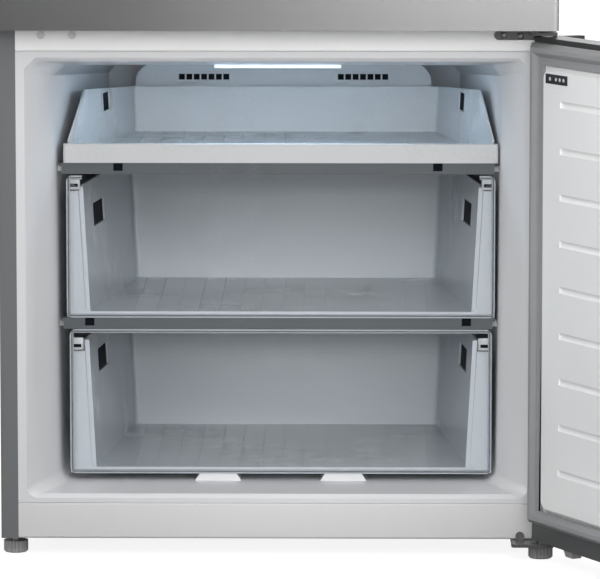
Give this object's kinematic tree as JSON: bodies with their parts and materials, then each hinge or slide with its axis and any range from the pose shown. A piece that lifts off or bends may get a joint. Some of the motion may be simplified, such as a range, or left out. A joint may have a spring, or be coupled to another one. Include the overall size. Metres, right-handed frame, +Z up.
{
  "type": "bottom freezer refrigerator",
  "caption": "Tall free-standing bottom freezer refrigerator with two hinged doors, the freezer door open on its drawers.",
  "frame": {"origin": "on the floor, under the middle of the cabinet's front face", "axes": "+X to the right seen from the front, +Y to the back, +Z up"},
  "size_m": [1.0427, 1.299, 2],
  "materials": {
    "cabinet_steel": "satin",
    "door_steel": "brushed",
    "frame_white": "satin",
    "zinc_steel": "satin",
    "liner_white": "satin",
    "foam": "matte",
    "drawer_white": "satin",
    "clear_plastic": "gloss",
    "door_liner_white": "satin",
    "gasket_grey": "matte",
    "cap_grey": "satin",
    "dark_plastic": "matte",
    "hinge_steel": "satin",
    "black_steel": "satin",
    "shelf_glass": "gloss",
    "coil_aluminium": "satin",
    "lamp_white": "gloss",
    "foot_grey": "matte",
    "nylon_white": "matte"
  },
  "bodies": {
    "cabinet": {"air_duct_cover": "liner_white", "back_panel": "zinc_steel", "base_plate": "zinc_steel", "bottom_rail": "frame_white", "cabinet_foam": "foam", "compressor": "black_steel", "compressor_plate": "zinc_steel", "condenser": "black_steel", "control_panel": "cap_grey", "drain_pan": "dark_plastic", "evaporator": "coil_aluminium", "evaporator_cover": "liner_white", "fan_motors": "dark_plastic", "freezer_lamp": "lamp_white", "freezer_liner": "liner_white", "fridge_lamp": "lamp_white", "fridge_liner": "liner_white", "glass_shelves": "shelf_glass", "lower_divider": "drawer_white", "lower_hinge": "hinge_steel", "machine_cover": "zinc_steel", "mid_beam": "frame_white", "mid_hinge": "hinge_steel", "shelf_frames": "liner_white", "side_panel_left": "cabinet_steel", "side_panel_right": "cabinet_steel", "top_hinge": "hinge_steel", "top_hinge_cover": "cap_grey", "top_panel": "cabinet_steel", "upper_divider": "drawer_white"},
    "freezer_door": {"freezer_door_bottom_cap": "cap_grey", "freezer_door_bushes": "nylon_white", "freezer_door_foam": "foam", "freezer_door_gasket": "gasket_grey", "freezer_door_liner": "door_liner_white", "freezer_door_skin": "door_steel", "freezer_door_top_cap": "cap_grey"},
    "fridge_door": {"fridge_door_bottom_cap": "cap_grey", "fridge_door_bushes": "nylon_white", "fridge_door_foam": "foam", "fridge_door_gasket": "gasket_grey", "fridge_door_liner": "door_liner_white", "fridge_door_skin": "door_steel", "fridge_door_top_cap": "cap_grey", "upper_door_bin": "clear_plastic", "middle_door_bin": "clear_plastic", "bottle_bin": "clear_plastic"},
    "tray": {"top_tray": "drawer_white"},
    "middle_drawer": {"middle_drawer_box": "drawer_white", "middle_drawer_front": "clear_plastic"},
    "bottom_drawer": {"bottom_drawer_box": "drawer_white", "bottom_drawer_front": "clear_plastic"},
    "crisper_left": {"left_crisper": "clear_plastic"},
    "crisper_right": {"right_crisper": "clear_plastic"},
    "foot_left": {"left_foot": "foot_grey"},
    "foot_right": {"right_foot": "foot_grey"},
    "roller_left": {"left_roller": "dark_plastic"},
    "roller_right": {"right_roller": "dark_plastic"},
    "fan_evaporator": {"evaporator_fan": "dark_plastic"},
    "fan_condenser": {"condenser_fan": "dark_plastic"}
  },
  "joints": [
    {"name": "freezer_door_hinge", "type": "hinge", "parent": "cabinet", "child": "freezer_door", "pos_m": [0.338, -0.024, 0], "axis": [0, 0, 1], "range_deg": [-116.7, 8.3]},
    {"name": "fridge_door_hinge", "type": "hinge", "parent": "cabinet", "child": "fridge_door", "pos_m": [0.338, -0.024, 0], "axis": [0, 0, 1], "range_deg": [0, 120]},
    {"name": "top_tray_slide", "type": "slide", "parent": "cabinet", "child": "tray", "axis": [0, -1, 0], "range_m": [0, 0.3]},
    {"name": "middle_drawer_slide", "type": "slide", "parent": "cabinet", "child": "middle_drawer", "axis": [0, -1, 0], "range_m": [0, 0.3]},
    {"name": "bottom_drawer_slide", "type": "slide", "parent": "cabinet", "child": "bottom_drawer", "axis": [0, -1, 0], "range_m": [0, 0.3]},
    {"name": "left_crisper_slide", "type": "slide", "parent": "cabinet", "child": "crisper_left", "axis": [0, -1, 0], "range_m": [0, 0.03]},
    {"name": "right_crisper_slide", "type": "slide", "parent": "cabinet", "child": "crisper_right", "axis": [0, -1, 0], "range_m": [0, 0.03]},
    {"name": "left_foot_screw", "type": "slide", "parent": "cabinet", "child": "foot_left", "axis": [0, 0, -1], "range_m": [0, 0.006]},
    {"name": "right_foot_screw", "type": "slide", "parent": "cabinet", "child": "foot_right", "axis": [0, 0, -1], "range_m": [0, 0.006]},
    {"name": "left_roller_axle", "type": "hinge", "parent": "cabinet", "child": "roller_left", "pos_m": [-0.3, 0.612, 0.02], "axis": [1, 0, 0], "continuous": true},
    {"name": "right_roller_axle", "type": "hinge", "parent": "cabinet", "child": "roller_right", "pos_m": [0.3, 0.612, 0.02], "axis": [1, 0, 0], "continuous": true},
    {"name": "evaporator_fan_shaft", "type": "hinge", "parent": "cabinet", "child": "fan_evaporator", "pos_m": [0, 0.506, 0.525], "axis": [0, 1, 0], "continuous": true},
    {"name": "condenser_fan_shaft", "type": "hinge", "parent": "cabinet", "child": "fan_condenser", "pos_m": [-0.025, 0.5885, 0.118], "axis": [1, 0, 0], "continuous": true}
  ]
}
